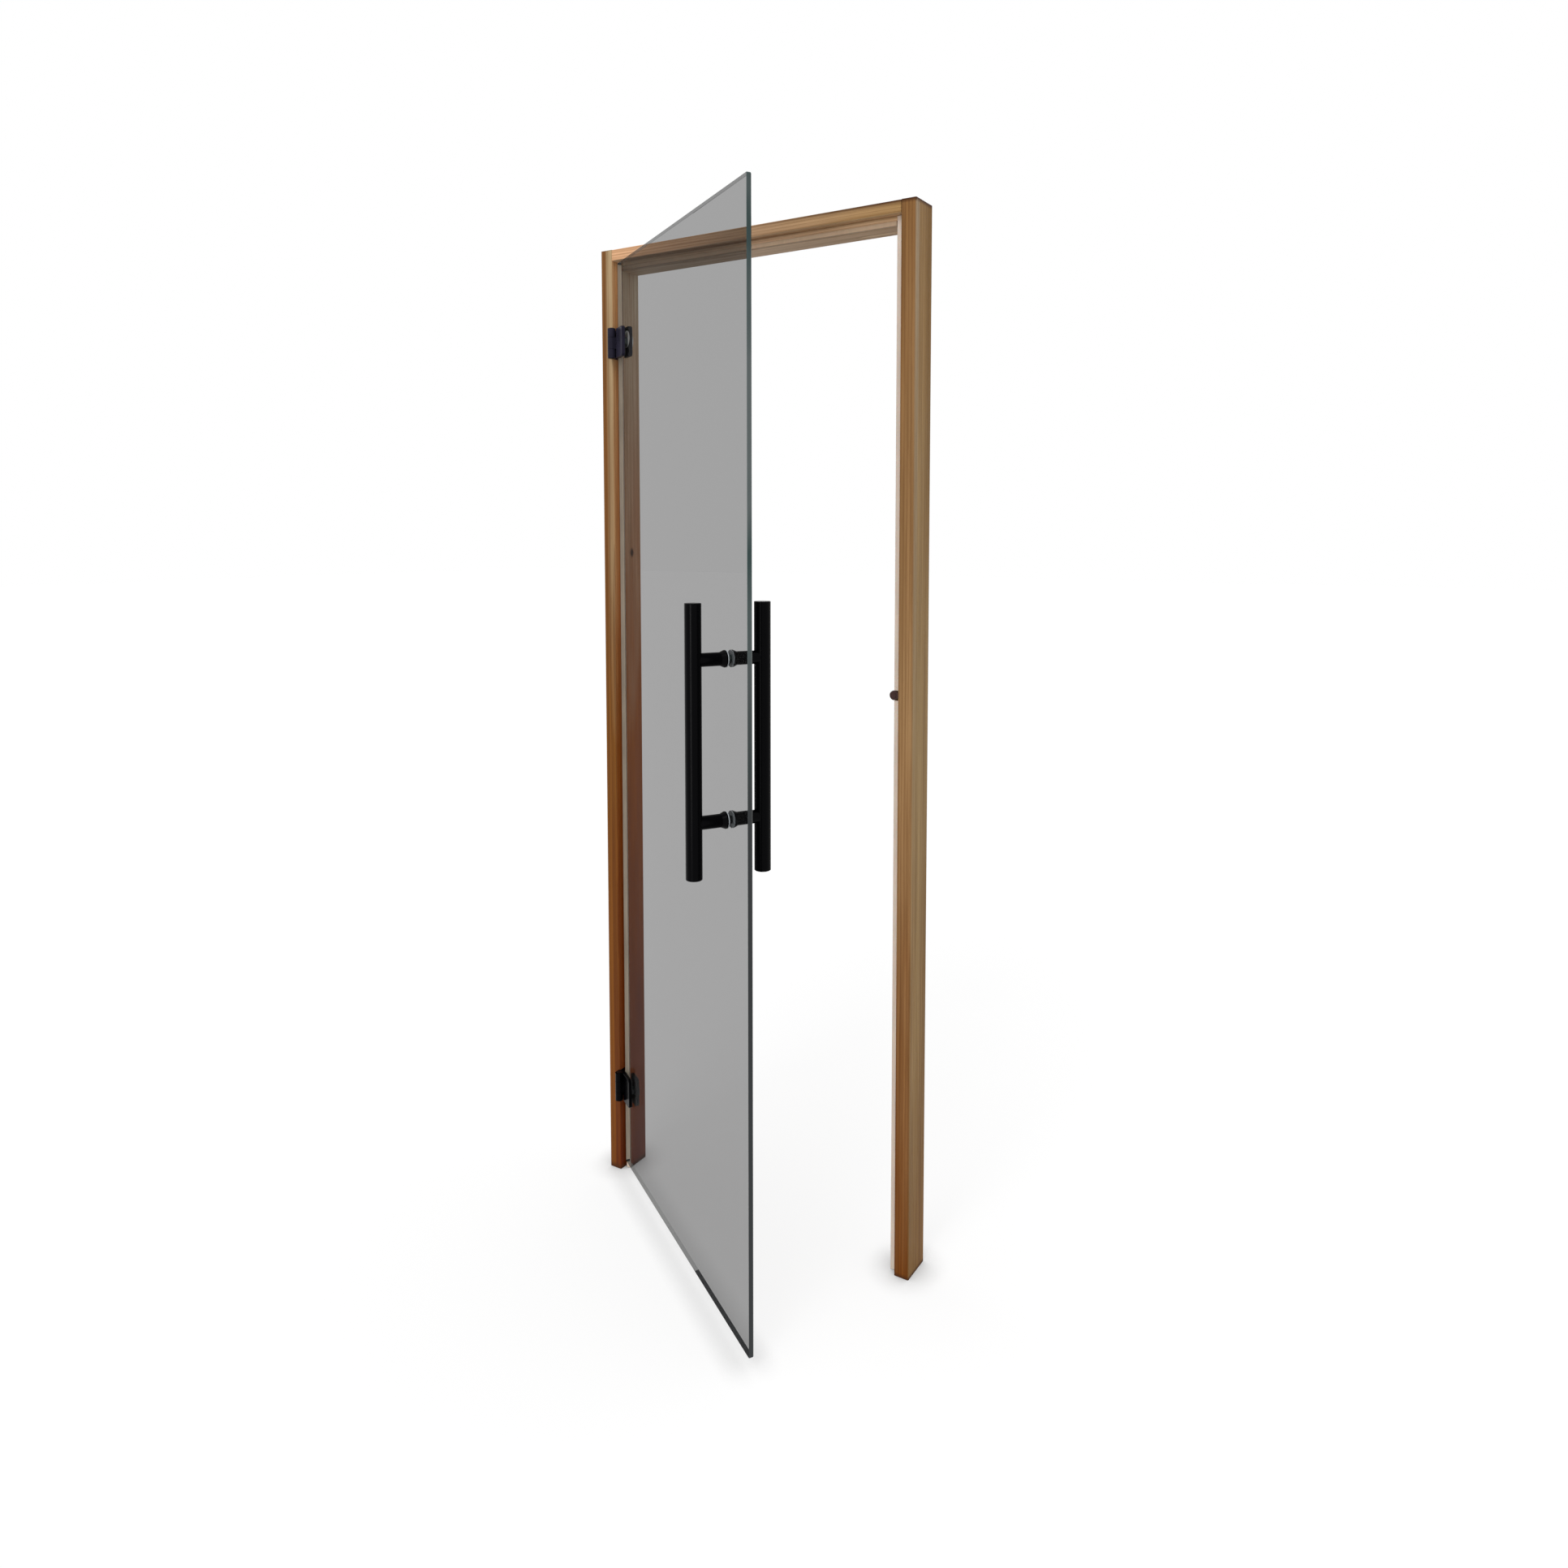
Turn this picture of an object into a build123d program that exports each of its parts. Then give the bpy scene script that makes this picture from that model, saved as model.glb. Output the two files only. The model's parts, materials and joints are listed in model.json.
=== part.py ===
from build123d import *
import os

# All-glass sauna door: a frameless glass leaf on two clamp hinges, in a rebated
# three-sided timber frame, with a pair of upright bar handles back to back.
# Millimetres. X runs along the width from the hinge side, Y from front to back, Z up.
# The origin is on the hinge jamb's outer face, at floor level, midway through its depth.
# The door opens towards the front, and stands part open at rest.

# Timber frame
frame_width = 690
frame_height = 1890
frame_depth = 65
jamb_face = 28
head_face = 22
jamb_reach = 42
head_reach = 40
rebate_depth = 16
arris_radius = 2

# Seal strips, each pushed into a groove along its stop
seal_width = 9
seal_inset = 5
seal_corner = 1.5
seal_clearance = 0.5
seal_end_gap = 1
groove_width = 3
groove_depth = 6
groove_clearance = 0.2

# Glass leaf, with the gaps round it when it is shut
glass_thickness = 8
glass_recess = 4
hinge_gap = 5
latch_gap = 5.5
head_gap = 5
floor_gap = 20
glass_corner = 3
glass_arris = 1
rest_opening = 32

# Hinges: a leaf let into the jamb, three knuckles on a pin, and two clamp plates
hinge_height = 58
hinge_from_end = 185
leaf_thickness = 3
knuckle_radius = 8
knuckle_standoff = 1
knuckle_share = 0.3
knuckle_gap = 0.5
knuckle_swing_gap = 1
pin_clearance = 0.05
pin_overhang = 1
plate_length = 46
plate_thickness = 6
plate_corner = 6
plate_edge = 1
plate_stop_gap = 5
gasket_thickness = 1
boss_radius = 8
boss_from_end = 17
boss_clearance = 1.5

# Handles
handle_inset = 84
handle_centre = 1000
bar_length = 440
bar_radius = 13.5
bar_wall = 1.5
bar_chamfer = 0.8
cap_thickness = 3
cap_clearance = 0.1
standoff_reach = 60
standoff_spacing = 260
standoff_radius = 11
standoff_flare = 3
flare_length = 9
flare_rim = 2
weld_gap = 0.05
washer_thickness = 1.5
stud_radius = 4
stud_clearance = 0.1
stud_grip = 12
stud_end_gap = 2
sleeve_wall = 2.5
sleeve_clearance = 0.1

# Catch on the latch jamb's stop
catch_centre = 1046
catch_radius = 8.5
catch_thickness = 2.5
catch_side_length = 12
button_radius = 4
catch_seal_gap = 0.5

# Planes and places that follow from the sizes
front_y = -frame_depth / 2
back_y = frame_depth / 2
stop_y = front_y + rebate_depth
glass_front_y = front_y + glass_recess
glass_back_y = glass_front_y + glass_thickness
glass_hinge_x = jamb_face + hinge_gap
glass_free_x = frame_width - jamb_face - latch_gap
glass_top_z = frame_height - head_face - head_gap
seal_height = rebate_depth - glass_recess - glass_thickness - seal_clearance
seal_x = jamb_reach - seal_inset
latch_stop_x = frame_width - jamb_reach
leaf_x = jamb_face - leaf_thickness
pin_x = leaf_x + knuckle_radius
pin_y = front_y - knuckle_standoff - knuckle_radius
pin_radius = knuckle_radius - leaf_thickness
clamp_start_x = jamb_reach + plate_stop_gap
plate_end_x = glass_hinge_x + plate_length
boss_x = plate_end_x - boss_from_end
outer_plate_y = glass_front_y - gasket_thickness
inner_plate_y = glass_back_y + gasket_thickness
hinge_centres = {"upper": frame_height - hinge_from_end, "lower": hinge_from_end}
handle_x = glass_free_x - handle_inset
glass_middle_y = (glass_front_y + glass_back_y) / 2
standoff_heights = (handle_centre - standoff_spacing / 2, handle_centre + standoff_spacing / 2)
stud_bore = stud_radius + stud_clearance
sleeve_radius = stud_bore + sleeve_wall
outward = {"outer": -1, "inner": 1}
middle_plane = Plane.YZ.offset(frame_width / 2)


def block(low, high):
    """A box between two opposite corners."""
    size = [b - a for a, b in zip(low, high)]
    return Pos(*low) * Box(*size, align=(Align.MIN, Align.MIN, Align.MIN))


def upright(radius, x, y, low, high):
    """A cylinder along Z between two heights."""
    return Pos(x, y, low) * Cylinder(radius, high - low, align=(Align.CENTER, Align.CENTER, Align.MIN))


def across(radius, x, z, near, far):
    """A cylinder along Y between two depths."""
    bar = Cylinder(radius, far - near, align=(Align.CENTER, Align.CENTER, Align.MIN))
    return Pos(x, near, z) * Rot(-90, 0, 0) * bar


def rebated_profile(face, reach):
    """Section of a frame member: a front lip, a rebate, a stop and the seal's groove."""
    outline = Polyline(
        (0, front_y),
        (face, front_y),
        (face, stop_y),
        (reach, stop_y),
        (reach, back_y),
        (0, back_y),
        close=True,
    )
    section = make_face(outline)
    arrises = [v for v in section.vertices() if not (abs(v.X - face) < 0.01 and abs(v.Y - stop_y) < 0.01)]
    section = fillet(arrises, arris_radius)
    groove = Pos(reach - seal_inset, stop_y + groove_depth / 2) * Rectangle(groove_width, groove_depth)
    return section - groove


def seal_bulb(reach):
    """Section of a seal's cushion, which lies on the stop's front face."""
    bulb = Pos(reach - seal_inset, stop_y - seal_height / 2) * Rectangle(seal_width, seal_height)
    return fillet(bulb.vertices().group_by(Axis.Y)[0], seal_corner)


def seal_foot(reach):
    """Section of a seal's foot, which is pushed into the stop's groove."""
    depth = groove_depth - groove_clearance
    foot = Rectangle(groove_width - 2 * groove_clearance, depth)
    return Pos(reach - seal_inset, stop_y + depth / 2) * foot


def as_head(section, start, end):
    """A section of the head, drawn as a jamb's, stood along X under the frame's top."""
    drop = Plane(origin=(start, 0, frame_height), x_dir=(0, 0, -1), z_dir=(1, 0, 0))
    return extrude(drop * section, end - start)


def hinge_jamb():
    jamb = extrude(rebated_profile(jamb_face, jamb_reach), frame_height)
    for centre in hinge_centres.values():
        low = centre - hinge_height / 2
        jamb -= block((leaf_x, front_y, low), (jamb_face, stop_y, low + hinge_height))
    return jamb


def latch_jamb():
    jamb = extrude(rebated_profile(jamb_face, jamb_reach), frame_height)
    return mirror(jamb, about=middle_plane)


def head():
    """The head stands between the jambs, its ends cut back round their stops."""
    beam = as_head(rebated_profile(head_face, head_reach), jamb_face, frame_width - jamb_face)
    shoulder = block((jamb_face, stop_y, frame_height - head_reach), (jamb_reach, back_y, frame_height))
    return beam - shoulder - mirror(shoulder, about=middle_plane)


def jamb_seal():
    top = frame_height - head_face - seal_end_gap
    section = seal_bulb(jamb_reach) + seal_foot(jamb_reach)
    return Pos(0, 0, seal_end_gap) * extrude(section, top - seal_end_gap)


def latch_seal():
    """The latch side's seal stops short of the catch, above it and below it."""
    room = catch_radius + catch_seal_gap
    gap = block(
        (latch_stop_x - seal_inset, front_y, catch_centre - room),
        (frame_width, back_y, catch_centre + room),
    )
    return mirror(jamb_seal(), about=middle_plane) - gap


def head_seal():
    start = seal_x + seal_width / 2 + seal_end_gap
    bulb = as_head(seal_bulb(head_reach), start, frame_width - start)
    foot_start = jamb_reach + seal_end_gap
    foot = as_head(seal_foot(head_reach), foot_start, frame_width - foot_start)
    return bulb + foot


def knuckle_heights(centre):
    """The lower and upper ends of the hinge, and of the door's knuckle between the jamb's two."""
    low = centre - hinge_height / 2
    high = centre + hinge_height / 2
    step = hinge_height * knuckle_share
    return low, low + step, high - step, high


def jamb_leaf(centre):
    """The leaf lies in the rebate and curls round the pin at its two ends, cut away between them."""
    low, middle_low, middle_high, high = knuckle_heights(centre)
    leaf = block((leaf_x, pin_y, low), (jamb_face, stop_y, high))
    leaf += upright(knuckle_radius, pin_x, pin_y, low, high)
    leaf -= block(
        (leaf_x, pin_y - knuckle_radius, middle_low),
        (pin_x + knuckle_radius, front_y, middle_high),
    )
    return leaf - upright(pin_radius + pin_clearance, pin_x, pin_y, low, high)


def hinge_pin(centre):
    """A plain pin, its two ends just proud of the knuckles."""
    low, _, _, high = knuckle_heights(centre)
    return upright(pin_radius, pin_x, pin_y, low - pin_overhang, high + pin_overhang)


def rounded_plate(start_x, near, thickness, centre, open_side):
    """A clamp plate on the glass, rounded at its free end and eased round its open face."""
    low = centre - hinge_height / 2
    plate = block((start_x, near, low), (plate_end_x, near + thickness, low + hinge_height))
    corners = plate.edges().filter_by(Axis.Y).group_by(Axis.X)[-1]
    plate = fillet(corners, plate_corner)
    rim = plate.faces().sort_by(Axis.Y)[open_side].edges()
    return chamfer(rim, plate_edge)


def door_leaf(centre):
    """The outer clamp plate carries the middle knuckle, and a boss that passes through the glass."""
    low, middle_low, middle_high, high = knuckle_heights(centre)
    near = outer_plate_y - plate_thickness
    plate = rounded_plate(glass_hinge_x, near, plate_thickness, centre, 0)
    own_low = middle_low + knuckle_gap
    own_high = middle_high - knuckle_gap
    reach = knuckle_radius + knuckle_swing_gap
    for start, end in ((low, own_low), (own_high, high)):
        plate -= block((pin_x, near, start), (pin_x + reach, pin_y + reach, end))
    plate += upright(knuckle_radius, pin_x, pin_y, own_low, own_high)
    web_far = near + plate_thickness / 2
    plate += block((pin_x, pin_y, own_low), (pin_x + knuckle_radius, web_far, own_high))
    plate -= upright(pin_radius + pin_clearance, pin_x, pin_y, own_low, own_high)
    return plate + across(boss_radius, boss_x, centre, outer_plate_y, inner_plate_y)


def clamp_plate(centre):
    """The inner clamp plate starts clear of the stop."""
    return rounded_plate(clamp_start_x, inner_plate_y, plate_thickness, centre, -1)


def gasket(side, centre):
    """A thin gasket between a plate and the glass, slotted to slide on past the boss."""
    start_x = glass_hinge_x if side == "outer" else clamp_start_x
    near = outer_plate_y if side == "outer" else glass_back_y
    far = near + gasket_thickness
    low = centre - hinge_height / 2
    sheet = block((start_x, near, low), (plate_end_x, far, low + hinge_height))
    sheet = fillet(sheet.edges().filter_by(Axis.Y).group_by(Axis.X)[-1], plate_corner)
    room = boss_radius + boss_clearance
    sheet -= across(room, boss_x, centre, near, far)
    return sheet - block((boss_x, near, centre - room), (plate_end_x, far, centre + room))


def glass():
    """The leaf, with a hole for each hinge boss and each handle stud."""
    pane = block((glass_hinge_x, glass_front_y, floor_gap), (glass_free_x, glass_back_y, glass_top_z))
    pane = fillet(pane.edges().filter_by(Axis.Y), glass_corner)
    faces = pane.faces().filter_by(Axis.Y)
    pane = chamfer(faces[0].edges() + faces[1].edges(), glass_arris)
    for centre in hinge_centres.values():
        pane -= across(boss_radius + boss_clearance, boss_x, centre, glass_front_y, glass_back_y)
    for height in standoff_heights:
        hole = sleeve_radius + sleeve_clearance
        pane -= across(hole, handle_x, height, glass_front_y, glass_back_y)
    return pane


def bar_y(side):
    return glass_middle_y + outward[side] * standoff_reach


def bar_ends():
    return handle_centre - bar_length / 2, handle_centre + bar_length / 2


def handle_bar(side):
    """A round tube, bevelled at its two ends."""
    low, high = bar_ends()
    tube = upright(bar_radius, handle_x, bar_y(side), low, high)
    tube = chamfer(tube.edges().filter_by(GeomType.CIRCLE), bar_chamfer)
    return tube - upright(bar_radius - bar_wall, handle_x, bar_y(side), low, high)


def bar_caps(side):
    """Both end caps, each a disc pressed into the tube flush with its end."""
    low, high = bar_ends()
    radius = bar_radius - bar_wall - cap_clearance
    lower = upright(radius, handle_x, bar_y(side), low, low + cap_thickness)
    upper = upright(radius, handle_x, bar_y(side), high - cap_thickness, high)
    return lower.fuse(upper)


def standoff(side, height):
    """A turned post with a flared foot at the glass, hollowed to sit against the bar."""
    length = standoff_reach - glass_thickness / 2 - washer_thickness
    flare_radius = standoff_radius + standoff_flare
    outline = Polyline(
        (0, 0),
        (flare_radius, 0),
        (flare_radius, flare_rim),
        (standoff_radius, flare_length),
        (standoff_radius, length),
        (0, length),
        close=True,
    )
    post = revolve(Plane.XZ * make_face(outline), Axis.Z)
    post -= upright(stud_bore, 0, 0, 0, stud_grip + stud_end_gap)
    turn = Rot(-90, 0, 0) if side == "inner" else Rot(90, 0, 0)
    foot_y = glass_middle_y + outward[side] * (glass_thickness / 2 + washer_thickness)
    post = Pos(handle_x, foot_y, height) * turn * post
    low, high = bar_ends()
    return post - upright(bar_radius + weld_gap, handle_x, bar_y(side), low, high)


def handle_washer(side, height):
    """A clear washer between a standoff's foot and the glass."""
    near = glass_back_y if side == "inner" else glass_front_y - washer_thickness
    far = near + washer_thickness
    ring = across(standoff_radius + standoff_flare, handle_x, height, near, far)
    return ring - across(stud_bore, handle_x, height, near, far)


def handle_stud(height):
    """A stud through the glass, screwed into a standoff at each side."""
    grip = washer_thickness + stud_grip
    return across(stud_radius, handle_x, height, glass_front_y - grip, glass_back_y + grip)


def handle_sleeve(height):
    """A clear sleeve that keeps the stud off the glass."""
    sleeve = across(sleeve_radius, handle_x, height, glass_front_y, glass_back_y)
    return sleeve - across(stud_bore, handle_x, height, glass_front_y, glass_back_y)


def catch_clip():
    """A round-nosed moulding over the arris of the latch jamb's stop, behind the shut glass."""
    near = stop_y - catch_thickness
    far = stop_y + catch_side_length
    clip = across(catch_radius, latch_stop_x, catch_centre, near, far)
    return clip - block(
        (latch_stop_x, stop_y, catch_centre - catch_radius),
        (latch_stop_x + catch_radius, far, catch_centre + catch_radius),
    )


def catch_button():
    """A low button on the clip, just short of the shut glass."""
    return across(button_radius, latch_stop_x, catch_centre, stop_y - seal_height, stop_y - catch_thickness)


def every(make, places):
    """One node of like pieces, made at each of the places."""
    first, *others = [make(place) for place in places]
    return first.fuse(*others)


# Every piece by its node's name: what stays with the frame, then what swings with the door
fixed = {
    "hinge_jamb": hinge_jamb(),
    "latch_jamb": latch_jamb(),
    "head": head(),
    "hinge_seal": jamb_seal(),
    "latch_seal": latch_seal(),
    "head_seal": head_seal(),
    "catch_clip": catch_clip(),
    "catch_button": catch_button(),
}
swinging = {"glass": glass()}

for place, centre in hinge_centres.items():
    fixed[f"{place}_jamb_leaf"] = jamb_leaf(centre)
    fixed[f"{place}_hinge_pin"] = hinge_pin(centre)
    swinging[f"{place}_door_leaf"] = door_leaf(centre)
    swinging[f"{place}_clamp_plate"] = clamp_plate(centre)

for side in outward:
    swinging[f"{side}_gaskets"] = every(lambda centre: gasket(side, centre), hinge_centres.values())
    swinging[f"{side}_handle_bar"] = handle_bar(side)
    swinging[f"{side}_bar_caps"] = bar_caps(side)
    swinging[f"{side}_standoffs"] = every(lambda height: standoff(side, height), standoff_heights)
    swinging[f"{side}_washers"] = every(lambda height: handle_washer(side, height), standoff_heights)

swinging["handle_studs"] = every(handle_stud, standoff_heights)
swinging["handle_sleeves"] = every(handle_sleeve, standoff_heights)

# The door is drawn shut and turned about its pins to its rest position
pin_axis = Axis((pin_x, pin_y, 0), (0, 0, 1))

os.makedirs("parts", exist_ok=True)
for name, shape in fixed.items():
    export_step(shape, f"parts/{name}.step")
for name, shape in swinging.items():
    export_step(shape.rotate(pin_axis, -rest_opening), f"parts/{name}.step")
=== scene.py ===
import json
from math import cos, pi, radians, sin

import bmesh
import bpy
from mathutils import Matrix, Vector


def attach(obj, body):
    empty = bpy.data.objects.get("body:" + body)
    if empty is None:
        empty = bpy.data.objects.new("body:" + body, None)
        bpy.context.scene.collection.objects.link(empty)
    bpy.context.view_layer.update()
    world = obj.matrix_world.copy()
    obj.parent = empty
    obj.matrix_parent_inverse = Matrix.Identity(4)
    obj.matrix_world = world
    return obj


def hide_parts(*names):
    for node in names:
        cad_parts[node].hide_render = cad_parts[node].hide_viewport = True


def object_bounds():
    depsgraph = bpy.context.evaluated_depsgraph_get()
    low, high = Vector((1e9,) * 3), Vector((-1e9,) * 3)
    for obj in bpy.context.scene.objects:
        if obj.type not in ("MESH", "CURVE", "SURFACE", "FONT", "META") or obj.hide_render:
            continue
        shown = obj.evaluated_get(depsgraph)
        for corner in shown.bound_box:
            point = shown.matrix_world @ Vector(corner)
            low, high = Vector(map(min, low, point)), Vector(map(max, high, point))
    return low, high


# An all-glass sauna door, standing part open in its timber frame. Metres, in the part's own
# frame: X along the width, Y from front to back, Z up.

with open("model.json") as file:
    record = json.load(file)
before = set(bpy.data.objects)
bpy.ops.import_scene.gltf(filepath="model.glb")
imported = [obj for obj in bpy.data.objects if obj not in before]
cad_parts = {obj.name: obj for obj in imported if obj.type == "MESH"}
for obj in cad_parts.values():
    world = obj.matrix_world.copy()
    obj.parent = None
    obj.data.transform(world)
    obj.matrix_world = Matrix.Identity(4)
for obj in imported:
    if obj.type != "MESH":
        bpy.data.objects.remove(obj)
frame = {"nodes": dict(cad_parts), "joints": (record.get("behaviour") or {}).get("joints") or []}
cad_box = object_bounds()
nodes = frame["nodes"]
swing = frame["joints"][0]
hinge_axis = Vector(swing["pos_m"])
rest_opening = radians(-swing["range_deg"][0])
frame_width, frame_back, frame_height = cad_box[1]
frame_front = -frame_back
places = ("upper", "lower")

# The camera stands to the right of the doorway, as in the photograph
camera_place = (1.502, -1.759, 1.327)
camera_turn = 31.84
camera_dip = 3.81
camera_lens = 25.50
camera_sensor = 36
camera_shift = -0.112

# Light at a plain level: an even white surround, one wide soft lamp, and a tall panel for highlights
surround_light = 0.80
lamp_strength = 0.75
lamp_width = 26
lamp_turn = (44, 0, 4)
panel_size = (0.55, 1.50)
panel_place = (0.79, -3.3, 0.80)
panel_power = 3.9
panel_spread = 80
floor_half = 30
floor_albedo = 0.30
floor_white = 1.02
contact_reach = 0.055
contact_samples = 2

# The timber's rings: how closely they lie, and how far and how slowly they wander along a board
ring_scale = 62
ring_wander = 0.020
ring_stretch = 0.012
arris_width = 0.0022

# Where one tone of a board gives way to the next
jamb_face = 0.028
jamb_inner_zone = (0.010, 0.017)
jamb_lip_zone = (jamb_face - 0.0012, jamb_face - 0.0002)
jamb_stop_zone = (jamb_face + 0.0002, jamb_face + 0.0010)
latch_stripe_zone = (frame_width - 0.0020, frame_width - 0.0004)
latch_side_zone = (frame_front + 0.0095, frame_front + 0.0165)
latch_rear_zone = (-0.002, 0.018)
head_inside_zone = (frame_height - 0.0205, frame_height - 0.0220)

# Where the wood is drawn with dark lines, and the one knot
jamb_top_line = (frame_height - 0.0075, frame_height - 0.0015)
head_top_line = (frame_height - 0.0085, frame_height - 0.0015)
head_line_fade = (0.30, 0.62)
front_line = (frame_front + 0.0035, frame_front + 0.0007)
latch_face_line = (frame_width - 0.0035, frame_width - 0.0007)
hinge_foot_line = (0.013, 0.002)
latch_foot_line = (0.008, 0.001)
knot_place = (0.042, 0.004, 1.29)
knot_radius = 0.007

# Glass: what each face and each level edge holds back, and where the bottom edge of the shut
# leaf turns dark
glass_alpha = 0.408
level_edge_alpha = 0.64
dark_edge_start = 0.42

# The leaf's faces are told apart by their area, and by how squarely they look one way
smallest_strip = 0.0001
face_facing = 0.98
edge_facing = 0.65

# Hinge trim, placed on the clamp plates of the shut door and on the jamb leaves
clamp_screw_x = 0.062
# The pale washer behind the upper clamp stands in for a glint: a painted highlight.
glint_washer_x = 0.064
glint_washer_rise = 0.005
glint_washer_gap = 0.0012
leaf_screw_y = -0.0245
leaf_screw_rise = 0.018
cap_sides = 40
screw_sides = 24

# Colours, linear. A board has three along it: at its foot or left end, halfway, and at its far end.
# On the hinge jamb every tone darkens towards the foot as painted shade, most on the inner faces, lip and
# stop; their pale tops are painted light, palest on the stop seen through the glass.
JAMB_FRONT = ((0.230, 0.070, 0.008), (0.235, 0.090, 0.015), (0.265, 0.112, 0.030))
JAMB_INNER = ((0.150, 0.030, 0.002), (0.215, 0.080, 0.011), (0.580, 0.420, 0.235))
JAMB_LIP = ((0.150, 0.022, 0.002), (0.290, 0.090, 0.010), (0.700, 0.440, 0.220))
JAMB_STOP = ((0.230, 0.030, 0.002), (0.680, 0.190, 0.012), (0.950, 0.780, 0.560))
LATCH_FRONT = ((0.205, 0.060, 0.004), (0.425, 0.245, 0.105), (0.300, 0.145, 0.045))
LATCH_STRIPE = ((0.280, 0.140, 0.035), (0.470, 0.320, 0.160), (0.480, 0.350, 0.215))
LATCH_SIDE = ((0.290, 0.150, 0.040), (0.460, 0.310, 0.140), (0.400, 0.230, 0.080))
LATCH_REAR = ((0.270, 0.130, 0.030), (0.400, 0.255, 0.110), (0.270, 0.135, 0.025))
HEAD_FRONT = ((0.990, 0.560, 0.300), (0.640, 0.410, 0.250), (0.480, 0.285, 0.110))
# The head's rebate is painted pale, as painted light against the shade that falls in it.
HEAD_INSIDE = ((0.900, 0.700, 0.480), (0.900, 0.640, 0.420), (0.880, 0.620, 0.360))
WOOD_LINE = (0.075, 0.022, 0.004)
STREAK_DARK = (0.80, 0.76, 0.70)
STREAK_PALE = (1.22, 1.24, 1.28)
LATE_WOOD = (0.46, 0.34, 0.24)
SEAL_CREAM = (0.860, 0.710, 0.590)
# The head's seal is the cream seal drawn darker, as painted shade.
SEAL_IN_SHADE = (0.560, 0.390, 0.250)
GLASS_TINT = (0.009, 0.009, 0.009)
EDGE_TEAL = (0.022, 0.054, 0.052)
# The free edge's paler stretches are painted glints.
EDGE_GLINT = (0.105, 0.128, 0.128)
EDGE_DARK = (0.018, 0.022, 0.024)
EDGE_GREY = (0.230, 0.240, 0.230)
# The hinge edge's near-white is partly its ground finish and partly painted light.
EDGE_PALE_AND_LIT = (0.980, 0.820, 0.640)
BLACK_COAT = (0.0005, 0.0005, 0.0010)
# The upper hinge's coat is drawn lilac-grey above the plain black, as painted light.
LIT_LILAC_COAT = (0.0340, 0.0310, 0.0520)
PIN_STEEL = (0.012, 0.012, 0.015)
POLISHED_CAP = (0.850, 0.840, 0.820)
CATCH_BROWN = (0.060, 0.020, 0.016)
GASKET_BLACK = (0.010, 0.010, 0.011)
WASHER_CLEAR = (0.720, 0.780, 0.820)
# The upper clamp's pale washer is a painted highlight.
GLINT_WASHER_PALE = (0.950, 0.940, 0.920)


class Paint:
    """A material's node tree, with short ways to add and join its nodes."""

    def __init__(self, name):
        self.material = bpy.data.materials.new(name)
        self.material.use_nodes = True
        self.tree = self.material.node_tree
        self.shader = self.tree.nodes["Principled BSDF"]
        self.point = self.add("ShaderNodeTexCoord").outputs["Object"]

    def add(self, kind, **settings):
        node = self.tree.nodes.new(kind)
        for key, value in settings.items():
            setattr(node, key, value)
        return node

    def join(self, source, target):
        """Feeds a socket from another, or sets it to a plain value."""
        if isinstance(source, bpy.types.NodeSocket):
            self.tree.links.new(source, target)
        else:
            target.default_value = source

    def set(self, **values):
        """Sets or feeds the shader's sockets, by their names in small letters."""
        for key, value in values.items():
            socket = self.shader.inputs[key.replace("_", " ").title().replace("Ior", "IOR")]
            self.join((*value, 1) if isinstance(value, tuple) else value, socket)

    def axes(self):
        """The painted point's X, Y and Z."""
        split = self.add("ShaderNodeSeparateXYZ")
        self.join(self.point, split.inputs[0])
        return {axis: split.outputs[axis] for axis in "XYZ"}

    def math(self, operation, a, b):
        node = self.add("ShaderNodeMath", operation=operation)
        self.join(a, node.inputs[0])
        self.join(b, node.inputs[1])
        return node.outputs[0]

    def stretch(self, point, factors, shift=(0, 0, 0)):
        node = self.add("ShaderNodeMapping")
        self.join(point, node.inputs["Vector"])
        node.inputs["Scale"].default_value = factors
        node.inputs["Location"].default_value = shift
        return node.outputs[0]

    def noise(self, point, scale=1.0, detail=3.0):
        node = self.add("ShaderNodeTexNoise")
        self.join(point, node.inputs["Vector"])
        node.inputs["Scale"].default_value = scale
        node.inputs["Detail"].default_value = detail
        node.inputs["Roughness"].default_value = 0.55
        return node.outputs[0]

    def span(self, value, low, high, to_low=0.0, to_high=1.0):
        node = self.add("ShaderNodeMapRange")
        self.join(value, node.inputs["Value"])
        ends = {"From Min": low, "From Max": high, "To Min": to_low, "To Max": to_high}
        for key, number in ends.items():
            node.inputs[key].default_value = number
        return node.outputs["Result"]

    def mix(self, share, a, b, blend="MIX"):
        node = self.add("ShaderNodeMix", data_type="RGBA", blend_type=blend)
        self.join(share, node.inputs["Factor"])
        for colour, socket in ((a, node.inputs[6]), (b, node.inputs[7])):
            self.join((*colour, 1) if isinstance(colour, tuple) else colour, socket)
        return node.outputs[2]

    def bump(self, height, distance, strength):
        node = self.add("ShaderNodeBump")
        self.join(height, node.inputs["Height"])
        node.inputs["Distance"].default_value = distance
        node.inputs["Strength"].default_value = strength
        self.join(node.outputs[0], self.shader.inputs["Normal"])

    def edges(self, radius):
        """1 along sharp arrises and 0 on flat faces."""
        rounded = self.add("ShaderNodeBevel", samples=4)
        rounded.inputs["Radius"].default_value = radius
        flat = self.add("ShaderNodeNewGeometry").outputs["True Normal"]
        dot = self.add("ShaderNodeVectorMath", operation="DOT_PRODUCT")
        self.join(rounded.outputs[0], dot.inputs[0])
        self.join(flat, dot.inputs[1])
        return self.span(dot.outputs["Value"], 0.995, 0.80)


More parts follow.
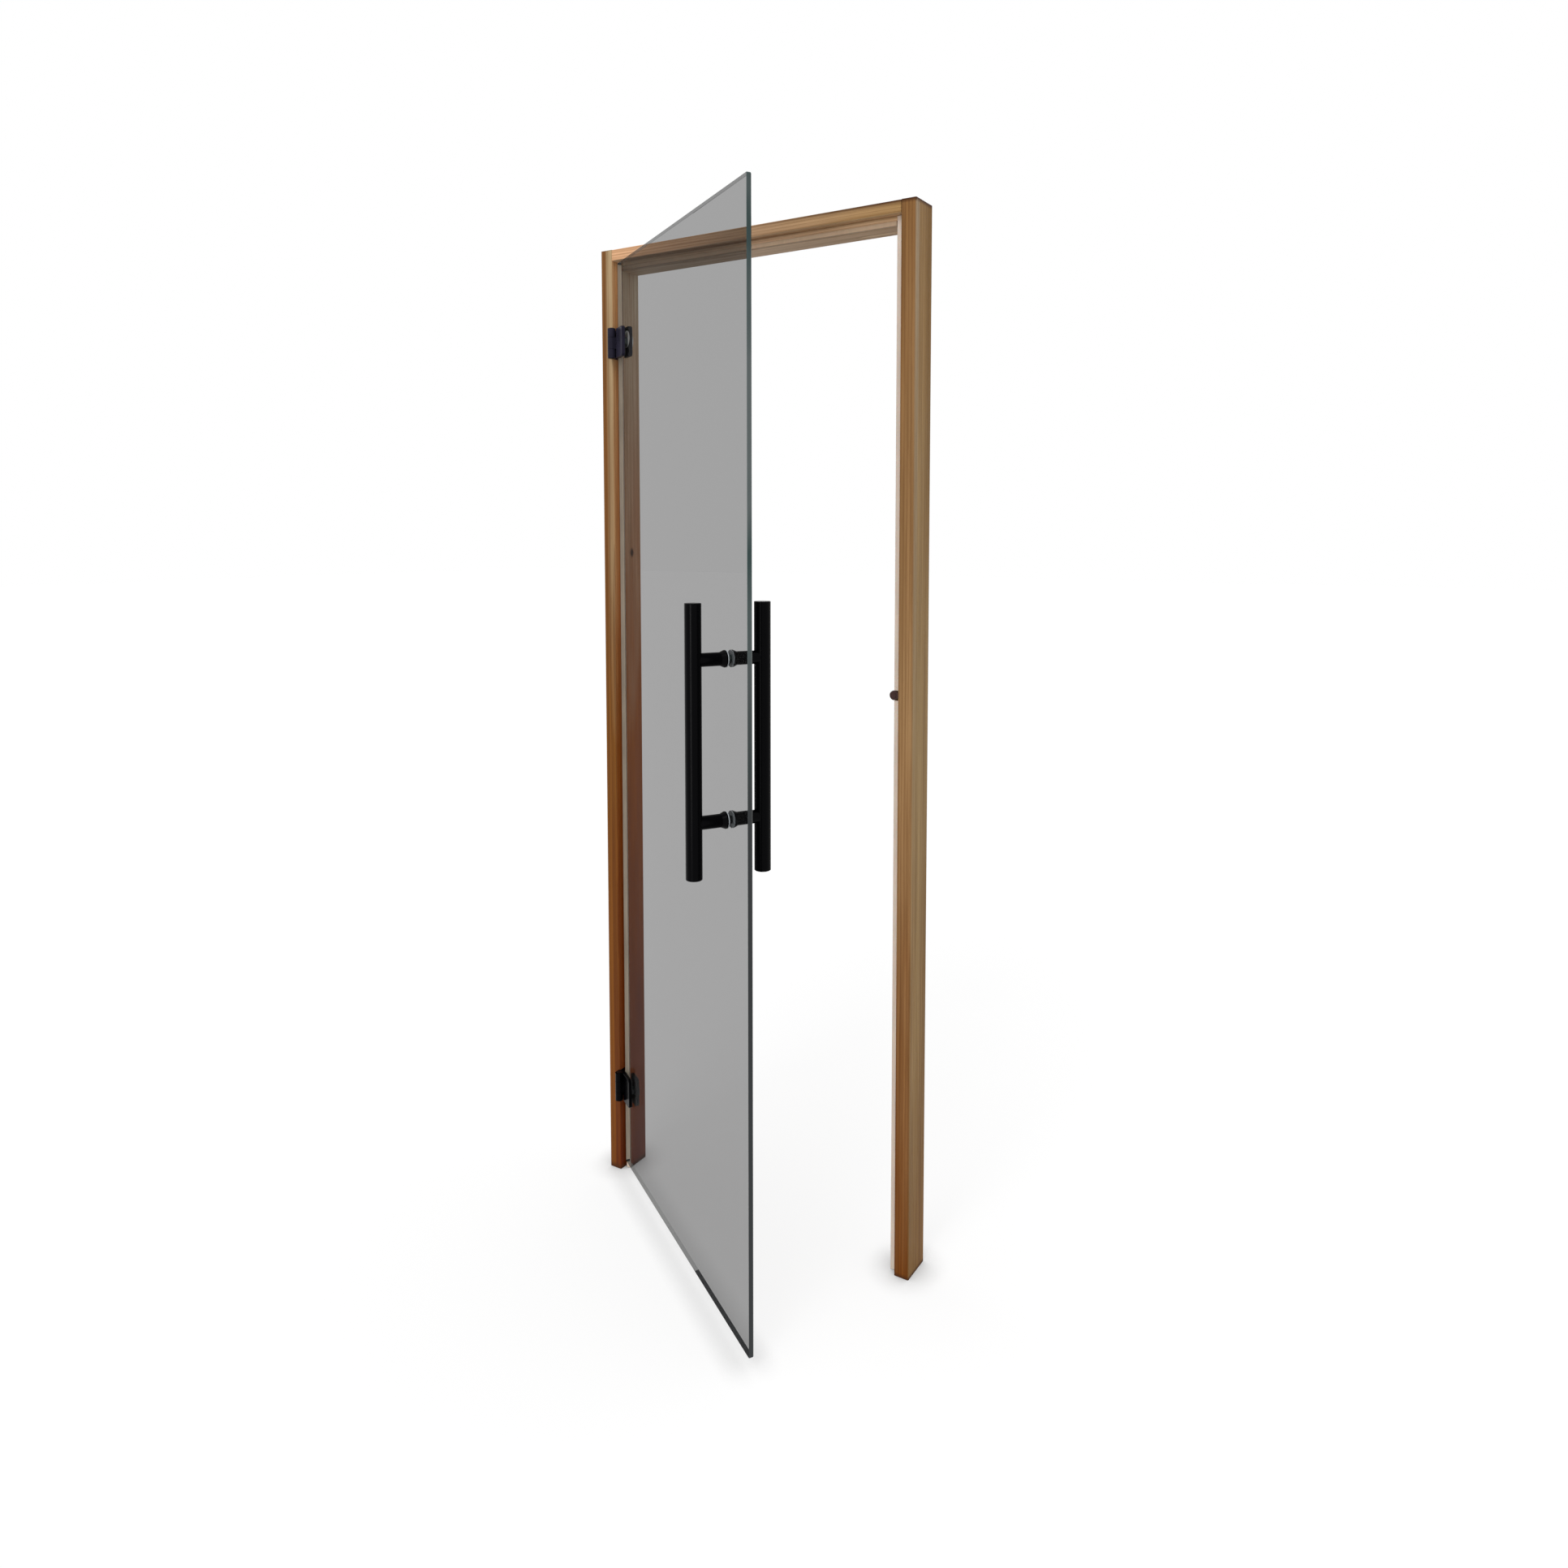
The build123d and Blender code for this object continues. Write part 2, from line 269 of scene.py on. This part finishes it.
class Timber(Paint):
    """Oiled softwood. The zones are other tones that a board shows past a line across one axis."""

    def __init__(self, name, grain, shift, tones, zones):
        super().__init__(name)
        self.place = self.axes()
        turned = self.add("ShaderNodeCombineXYZ")
        order = "XYZ" if grain == "Z" else "ZYX"
        for axis, source in zip("XYZ", order):
            self.join(self.place[source], turned.inputs[axis])
        along = turned.outputs[0]

        # The rings wander slowly along the board
        slow = self.noise(self.stretch(along, (9, 9, 1.3), shift), detail=2.0)
        wander = self.add("ShaderNodeVectorMath", operation="MULTIPLY_ADD")
        self.join(slow, wander.inputs[0])
        wander.inputs[1].default_value = (ring_wander, ring_wander, 0)
        self.join(self.stretch(along, (1, 1, ring_stretch), shift), wander.inputs[2])
        rings = self.add("ShaderNodeTexWave", wave_type="RINGS", rings_direction="Z", wave_profile="SAW")
        self.join(wander.outputs[0], rings.inputs["Vector"])
        rings.inputs["Scale"].default_value = ring_scale
        rings.inputs["Distortion"].default_value = 1.4
        rings.inputs["Detail"].default_value = 2.0
        rings.inputs["Detail Scale"].default_value = 1.5
        self.late_wood = self.math("POWER", rings.outputs["Fac"], 2.4)

        streaks = self.noise(self.stretch(along, (170, 170, 3.5), shift), detail=4.0)
        self.fibres = self.noise(self.stretch(along, (1500, 1500, 40), shift), detail=3.0)
        patches = self.noise(self.stretch(along, (30, 30, 2.6), shift), detail=2.0)

        length = frame_height if grain == "Z" else frame_width
        uneven = self.math("MULTIPLY", self.math("SUBTRACT", patches, 0.5), 0.45 * length)
        where = self.math("ADD", self.place[grain], uneven)
        colour = self.graded(where, length, tones)
        for zone_tones, axis, line in zones:
            share = self.span(self.place[axis], *line)
            colour = self.mix(share, colour, self.graded(where, length, zone_tones))
        streaked = self.mix(self.span(streaks, 0.30, 0.72), STREAK_DARK, STREAK_PALE)
        colour = self.mix(1.0, colour, streaked, "MULTIPLY")
        shade = self.mix(1.0, colour, LATE_WOOD, "MULTIPLY")
        colour = self.mix(self.math("MULTIPLY", self.late_wood, 0.55), colour, shade)
        self.colour = self.mix(self.span(self.fibres, 0.40, 0.22, 0.0, 0.45), colour, shade)

    def graded(self, where, length, tones):
        """A colour that changes slowly along a board, from its first end to its far end."""
        first, middle, last = tones
        colour = self.mix(self.span(where, 0.0, 0.5 * length), first, middle)
        return self.mix(self.span(where, 0.5 * length, length), colour, last)

    def dark_line(self, *limits):
        """A dark line along an end or a top arris, where all of the limits are passed."""
        dark = 1.0
        for axis, line in limits:
            dark = self.math("MULTIPLY", dark, self.span(self.place[axis], *line))
        self.colour = self.mix(dark, self.colour, WOOD_LINE)

    def knot(self):
        """A small dark knot, longer along the grain than across it."""
        squash = 0.6
        x, y, z = knot_place
        near = self.add("ShaderNodeVectorMath", operation="DISTANCE")
        self.join(self.stretch(self.point, (1, 1, squash)), near.inputs[0])
        near.inputs[1].default_value = (x, y, squash * z)
        dark = self.span(near.outputs["Value"], knot_radius, 0.4 * knot_radius)
        self.colour = self.mix(dark, self.colour, WOOD_LINE)

    def finish(self, arris_share):
        """Darker arrises, a satin sheen that follows the grain, and raised fibres."""
        arrises = self.math("MULTIPLY", self.edges(arris_width), arris_share)
        self.set(base_color=self.mix(arrises, self.colour, WOOD_LINE))
        self.set(roughness=self.span(self.fibres, 0.3, 0.7, 0.60, 0.46), specular_ior_level=0.15)
        height = self.math("ADD", self.math("MULTIPLY", self.late_wood, 0.5), self.fibres)
        self.bump(height, 0.00025, 0.6)
        return self.material


def hinge_jamb_timber():
    # Its inner faces, lip and stop are dark at the foot as painted shade and pale at the top as painted
    # light.
    board = Timber("timber_hinge_jamb", "Z", (-0.052, 0.071, 0.0), JAMB_FRONT, [
        (JAMB_INNER, "X", jamb_inner_zone),
        (JAMB_LIP, "X", jamb_lip_zone),
        (JAMB_STOP, "X", jamb_stop_zone),
    ])
    board.dark_line(("Z", hinge_foot_line))
    board.knot()
    return board.finish(arris_share=0.5)


def latch_jamb_timber():
    board = Timber("timber_latch_jamb", "Z", (-0.742, 0.064, 0.37), LATCH_FRONT, [
        (LATCH_STRIPE, "X", latch_stripe_zone),
        (LATCH_SIDE, "Y", latch_side_zone),
        (LATCH_REAR, "Y", latch_rear_zone),
    ])
    board.dark_line(("Z", jamb_top_line), ("Y", front_line))
    board.dark_line(("Z", jamb_top_line), ("X", latch_face_line))
    board.dark_line(("Z", latch_foot_line))
    return board.finish(arris_share=0.35)


def head_timber():
    """The head is bright orange wood towards the hinge side, and duller towards the latch."""
    board = Timber("timber_head", "X", (0.031, -0.083, 0.2), HEAD_FRONT, [
        # The rebate's pale tones are painted light against its shade.
        (HEAD_INSIDE, "Z", head_inside_zone),
    ])
    board.dark_line(("Z", head_top_line), ("X", head_line_fade), ("Y", front_line))
    return board.finish(arris_share=0.35)


def dimmed(colour, share):
    return tuple(share * c for c in colour)


def satin_black(name, colour, lit_colour=None):
    """A thin black coat with a fine even grain; high up, a lighter colour takes over as painted light."""
    paint = Paint(name)
    grain = paint.noise(paint.point, 2600, detail=2.0)
    cloud = paint.noise(paint.point, 22, detail=3.0)
    worn = tuple(c * 2.5 + 0.002 for c in colour)
    coat = paint.mix(paint.math("MULTIPLY", paint.edges(0.0006), 0.5), colour, worn)
    # Above a metre the coat is drawn lighter, as painted light on the upper hinge.
    if lit_colour:
        uneven = paint.mix(paint.span(cloud, 0.35, 0.65), lit_colour, dimmed(lit_colour, 0.6))
        coat = paint.mix(paint.span(paint.axes()["Z"], 0.9, 1.1), coat, uneven)
    paint.set(base_color=coat, specular_ior_level=0.045)
    paint.set(roughness=paint.span(cloud, 0.3, 0.7, 0.17, 0.23))
    paint.bump(grain, 0.00004, 0.5)
    return paint.material


def dark_steel(name, colour):
    """Turned steel, rubbed along its length."""
    paint = Paint(name)
    rub = paint.noise(paint.stretch(paint.point, (900, 900, 60)), detail=2.0)
    paint.set(base_color=colour, metallic=0.85, roughness=paint.span(rub, 0.3, 0.7, 0.28, 0.42))
    paint.bump(rub, 0.00002, 0.5)
    return paint.material


def soft_seal(name, colour):
    """Soft silicone, a little dusty along its back."""
    paint = Paint(name)
    dust = paint.noise(paint.stretch(paint.point, (120, 120, 18)), detail=4.0)
    paint.set(base_color=paint.mix(paint.span(dust, 0.35, 0.75, 0.0, 0.6), colour, dimmed(colour, 0.78)))
    paint.set(roughness=0.55, subsurface_weight=0.12, subsurface_scale=0.004)
    paint.bump(paint.noise(paint.point, 700, detail=2.0), 0.0001, 0.5)
    return paint.material


def tinted_face():
    """The leaf's two faces: each lets through a little over half of the light."""
    paint = Paint("glass_tinted")
    paint.set(base_color=GLASS_TINT, alpha=glass_alpha, ior=1.5, specular_ior_level=0.01)
    smears = paint.noise(paint.stretch(paint.point, (9, 9, 5)), detail=5.0)
    paint.set(roughness=paint.span(smears, 0.35, 0.8, 0.015, 0.07))
    paint.bump(paint.noise(paint.point, 3.0, detail=1.0), 0.0006, 0.4)
    return paint.material


def polished_edge():
    """The free edge: green-blue, with paler stretches high up that are painted glints, and darker and
    greyer lower down.
    """
    paint = Paint("glass_edge")
    deep = paint.noise(paint.stretch(paint.point, (14, 14, 3.2), (0, 0, 1.7)), detail=3.0)
    high = paint.mix(paint.span(deep, 0.42, 0.60), EDGE_GLINT, EDGE_TEAL)
    height = paint.math("ADD", paint.axes()["Z"], paint.math("MULTIPLY", deep, 0.5))
    paint.set(base_color=paint.mix(paint.span(height, 1.45, 1.15), high, EDGE_DARK))
    paint.set(roughness=0.12, ior=1.5, specular_ior_level=0.35)
    return paint.material


def level_edge():
    """The top edge, and the bottom one near the hinges: clear, and darker towards the free corner."""
    paint = Paint("glass_level_edge")
    deep = paint.noise(paint.point, 9, detail=3.0)
    reach = paint.math("ADD", paint.axes()["X"], paint.math("MULTIPLY", deep, 0.12))
    paint.set(base_color=paint.mix(paint.span(reach, 0.26, 0.56), EDGE_GREY, EDGE_DARK))
    paint.set(roughness=0.2, alpha=level_edge_alpha, specular_ior_level=0.3)
    return paint.material


def pale_edge():
    """The hinge side's edge is ground but not polished, and pale against the wood; its colour is pushed
    near white as painted light, since the edge faces the jamb and gets little light.
    """
    paint = Paint("glass_ground_edge")
    dust = paint.noise(paint.stretch(paint.point, (90, 90, 12)), detail=3.0)
    paint.set(base_color=paint.mix(paint.span(dust, 0.35, 0.7), EDGE_PALE_AND_LIT, dimmed(EDGE_PALE_AND_LIT, 0.8)))
    paint.set(roughness=0.5, specular_ior_level=0.3)
    paint.bump(dust, 0.0001, 0.4)
    return paint.material


def clear_plastic():
    """The washers and sleeves, which let some light through."""
    paint = Paint("washer_plastic")
    paint.set(base_color=WASHER_CLEAR, roughness=0.16, transmission_weight=0.35, ior=1.46)
    paint.bump(paint.noise(paint.point, 900, detail=1.0), 0.00003, 0.4)
    return paint.material


def moulded(name, colour, roughness):
    """Dull rubber or plastic, a little cloudy."""
    paint = Paint(name)
    cloud = paint.noise(paint.point, 160, detail=3.0)
    paint.set(base_color=paint.mix(paint.span(cloud, 0.3, 0.7), colour, dimmed(colour, 0.7)))
    paint.set(roughness=roughness, specular_ior_level=0.4)
    paint.bump(paint.noise(paint.point, 1800, detail=2.0), 0.00005, 0.6)
    return paint.material


coat = satin_black("black_coat", BLACK_COAT)
hinge_coat = satin_black("hinge_coat", BLACK_COAT, lit_colour=LIT_LILAC_COAT)
steel = dark_steel("pin_steel", PIN_STEEL)
polished = dark_steel("polished_cap", POLISHED_CAP)
glint_disc = soft_seal("clamp_glint_washer", GLINT_WASHER_PALE)
rubber = moulded("gasket_rubber", GASKET_BLACK, 0.7)
washer = clear_plastic()


def dress(material, *names):
    for name in names:
        slots = nodes[name].data.materials
        slots.clear()
        slots.append(material)


def dress_the_model():
    dress(hinge_jamb_timber(), "hinge_jamb")
    dress(latch_jamb_timber(), "latch_jamb")
    dress(head_timber(), "head")
    dress(soft_seal("seal_cream", SEAL_CREAM), "hinge_seal", "latch_seal")
    # The head's seal takes the darker copy, as painted shade.
    dress(soft_seal("seal_in_shade", SEAL_IN_SHADE), "head_seal")
    for place in places:
        dress(hinge_coat, f"{place}_jamb_leaf", f"{place}_door_leaf", f"{place}_clamp_plate")
        dress(steel, f"{place}_hinge_pin")
    for side in ("outer", "inner"):
        dress(coat, f"{side}_handle_bar", f"{side}_bar_caps", f"{side}_standoffs")
        dress(rubber, f"{side}_gaskets")
        dress(washer, f"{side}_washers")
    dress(washer, "handle_sleeves")
    dress(steel, "handle_studs")
    dress(moulded("catch_moulding", CATCH_BROWN, 0.45), "catch_clip", "catch_button")


def new_object(name, data):
    made = bpy.data.objects.new(name, data)
    bpy.context.scene.collection.objects.link(made)
    return made


def shut_to_rest():
    """The turn about the pins that takes a point of the shut door to where it stands at rest."""
    turn = Matrix.Rotation(-rest_opening, 4, "Z")
    return Matrix.Translation(hinge_axis) @ turn @ Matrix.Translation(-hinge_axis)


def shut_box(name):
    """A door node's lowest and highest corners when the door is shut."""
    back = shut_to_rest().inverted()
    points = [back @ v.co for v in nodes[name].data.vertices]
    return [Vector(pick(p[i] for p in points) for i in range(3)) for pick in (min, max)]


def glass_leaf():
    """The leaf, with its edges told from its faces by which way they look."""
    mesh = nodes["glass"].data.copy()
    mesh.materials.clear()
    for material in (tinted_face(), polished_edge(), level_edge(), pale_edge()):
        mesh.materials.append(material)
    face, free_edge, clear_edge, hinge_edge = range(4)
    turn = shut_to_rest().to_3x3()
    through = turn @ Vector((0, 1, 0))
    to_hinge = turn @ Vector((-1, 0, 0))

    # The bottom edge is cut where it turns dark
    dark_from = shut_to_rest() @ Vector((dark_edge_start, 0, 0))
    shape = bmesh.new()
    shape.from_mesh(mesh)
    whole = shape.verts[:] + shape.edges[:] + shape.faces[:]
    bmesh.ops.bisect_plane(shape, geom=whole, plane_co=dark_from, plane_no=to_hinge)
    shape.to_mesh(mesh)
    shape.free()
    for polygon in mesh.polygons:
        long_way = polygon.area > smallest_strip
        past_cut = (polygon.center - dark_from).dot(to_hinge) < 0
        if abs(polygon.normal.dot(through)) > face_facing:
            polygon.material_index = face
        elif long_way and polygon.normal.dot(to_hinge) > edge_facing:
            polygon.material_index = hinge_edge
        elif long_way and abs(polygon.normal.z) > edge_facing:
            polygon.material_index = free_edge if past_cut and polygon.normal.z < 0 else clear_edge
        else:
            polygon.material_index = free_edge
    leaf = new_object("glass_leaf", mesh)
    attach(leaf, "door")
    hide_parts("glass")


def turned_piece(name, outline, centre, facing, material, body, sides=cap_sides):
    """A small round piece, turned from an outline of radii and heights about the way it faces."""
    mesh = bpy.data.meshes.new(name)
    shape = bmesh.new()
    rings = []
    for radius, height in outline:
        ring = []
        for step in range(sides if radius else 1):
            angle = 2 * pi * step / sides
            ring.append(shape.verts.new((radius * cos(angle), radius * sin(angle), height)))
        rings.append(ring)
    for low, high in zip(rings, rings[1:]):
        for step in range(sides):
            after = (step + 1) % sides
            corners = [low[step % len(low)], low[after % len(low)],
                       high[after % len(high)], high[step % len(high)]]
            shape.faces.new(list(dict.fromkeys(corners)))
    for face in shape.faces:
        face.smooth = True
    shape.normal_update()
    shape.to_mesh(mesh)
    shape.free()
    mesh.materials.append(material)
    mesh.set_sharp_from_angle(angle=radians(35))
    piece = new_object(name, mesh)
    turn = Vector((0, 0, 1)).rotation_difference(facing).to_matrix().to_4x4()
    piece.matrix_world = Matrix.Translation(centre) @ turn
    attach(piece, body)


def hinge_fixings():
    """A cap over each clamp's screw, polished above and black below as painted shade, a pale washer
    behind the upper as a painted highlight, and screws in the jamb leaves.
    """
    to_rest = shut_to_rest()
    inward = to_rest.to_3x3() @ Vector((0, 1, 0))
    dome = [(0.0150, 0), (0.0150, 0.0012), (0.0138, 0.0022), (0.0105, 0.0032), (0.0060, 0.0038),
            (0, 0.0040)]
    disc = [(0.0165, -0.0002), (0.0165, 0.0001), (0.0162, 0.0003), (0, 0.0003)]
    screw = [(0.0042, 0.0001), (0.0040, 0.0004), (0.0020, 0.0004), (0.0018, -0.0006), (0, -0.0006)]
    off_the_jamb = Vector((1, 0, 0))
    # The upper cap is polished steel to catch a glint, the lower one black as painted shade.
    for place, finish in zip(places, (polished, coat)):
        low, high = shut_box(f"{place}_clamp_plate")
        middle = (low.z + high.z) / 2
        centre = to_rest @ Vector((clamp_screw_x, high.y, middle))
        turned_piece(f"{place}_clamp_cap", dome, centre, inward, finish, "door")
        # Behind the upper clamp only, a pale washer as a painted highlight.
        if place == "upper":
            centre = to_rest @ Vector((glint_washer_x, low.y - glint_washer_gap, middle + glint_washer_rise))
            turned_piece("upper_clamp_glint_washer", disc, centre, -inward, glint_disc, "door")
        for side, shift in (("low", -leaf_screw_rise), ("high", leaf_screw_rise)):
            name = f"{place}_leaf_screw_{side}"
            centre = Vector((jamb_face, leaf_screw_y, middle + shift))
            turned_piece(name, screw, centre, off_the_jamb, steel, "frame", screw_sides)


def place_camera():
    data = bpy.data.cameras.new("photo_view")
    data.lens = camera_lens
    data.sensor_width = camera_sensor
    data.shift_y = camera_shift
    camera = new_object("photo_view", data)
    camera.location = camera_place
    camera.rotation_euler = (radians(90 - camera_dip), 0, radians(camera_turn))
    bpy.context.scene.camera = camera


def seen_directly(tree):
    """1 for what the camera sees, straight, in a mirror or through glass."""
    path = tree.nodes.new("ShaderNodeLightPath")
    total = path.outputs["Is Camera Ray"]
    for name in ("Is Glossy Ray", "Is Transmission Ray"):
        either = tree.nodes.new("ShaderNodeMath")
        either.operation = "MAXIMUM"
        tree.links.new(total, either.inputs[0])
        tree.links.new(path.outputs[name], either.inputs[1])
        total = either.outputs[0]
    return total


def white_surround():
    world = bpy.data.worlds.new("white_surround")
    world.use_nodes = True
    tree = world.node_tree
    light = tree.nodes["Background"]
    light.inputs["Color"].default_value = (1, 1, 1, 1)
    light.inputs["Strength"].default_value = surround_light
    shown = tree.nodes.new("ShaderNodeBackground")
    shown.inputs["Strength"].default_value = 1.0
    shown.inputs["Color"].default_value = (1, 1, 1, 1)
    mix = tree.nodes.new("ShaderNodeMixShader")
    tree.links.new(seen_directly(tree), mix.inputs[0])
    tree.links.new(light.outputs[0], mix.inputs[1])
    tree.links.new(shown.outputs[0], mix.inputs[2])
    tree.links.new(mix.outputs[0], tree.nodes["World Output"].inputs["Surface"])
    bpy.context.scene.world = world


def soft_lamp():
    data = bpy.data.lights.new("soft_lamp", "SUN")
    data.energy = lamp_strength
    data.angle = radians(lamp_width)
    lamp = new_object("soft_lamp", data)
    lamp.rotation_euler = [radians(a) for a in lamp_turn]


def highlight_panel():
    """A tall panel in front, whose reflection is the line of light down each bar."""
    data = bpy.data.lights.new("highlight_panel", "AREA")
    data.shape = "RECTANGLE"
    data.size, data.size_y = panel_size
    data.energy = panel_power
    data.spread = radians(panel_spread)
    lamp = new_object("highlight_panel", data)
    lamp.location = panel_place
    lamp.rotation_euler = (pi / 2, 0, 0)
    lamp.visible_camera = False


def pale_floor():
    """A plain white floor that keeps the object's soft shadow, and a painted contact shadow close to what
    stands on it.
    """
    half = floor_half
    mesh = bpy.data.meshes.new("floor")
    corners = [(-half, -half, 0), (half, -half, 0), (half, half, 0), (-half, half, 0)]
    mesh.from_pydata(corners, [], [(0, 1, 2, 3)])
    floor = new_object("floor", mesh)
    paint = Paint("floor_white")
    paint.tree.nodes.remove(paint.shader)
    diffuse = paint.add("ShaderNodeBsdfDiffuse")
    paint.join((floor_albedo, floor_albedo, floor_albedo, 1), diffuse.inputs["Color"])
    contact = paint.add("ShaderNodeAmbientOcclusion", samples=contact_samples)
    paint.join(contact_reach, contact.inputs["Distance"])

    # What the floor doesn't send back of the light it gets is made up for by a glow
    received = surround_light + lamp_strength * cos(radians(lamp_turn[0])) / pi
    # Close to the object the glow is cut, as a painted contact shadow.
    shaded = paint.math("MULTIPLY", contact.outputs["AO"], floor_white - floor_albedo * received)
    glow = paint.add("ShaderNodeEmission")
    paint.join(paint.math("MULTIPLY", seen_directly(paint.tree), shaded), glow.inputs["Strength"])
    both = paint.add("ShaderNodeAddShader")
    paint.join(diffuse.outputs[0], both.inputs[0])
    paint.join(glow.outputs[0], both.inputs[1])
    paint.join(both.outputs[0], paint.tree.nodes["Material Output"].inputs["Surface"])
    mesh.materials.append(paint.material)


dress_the_model()
glass_leaf()
hinge_fixings()
place_camera()
white_surround()
soft_lamp()
highlight_panel()
pale_floor()
bpy.context.scene.view_settings.view_transform = "Standard"
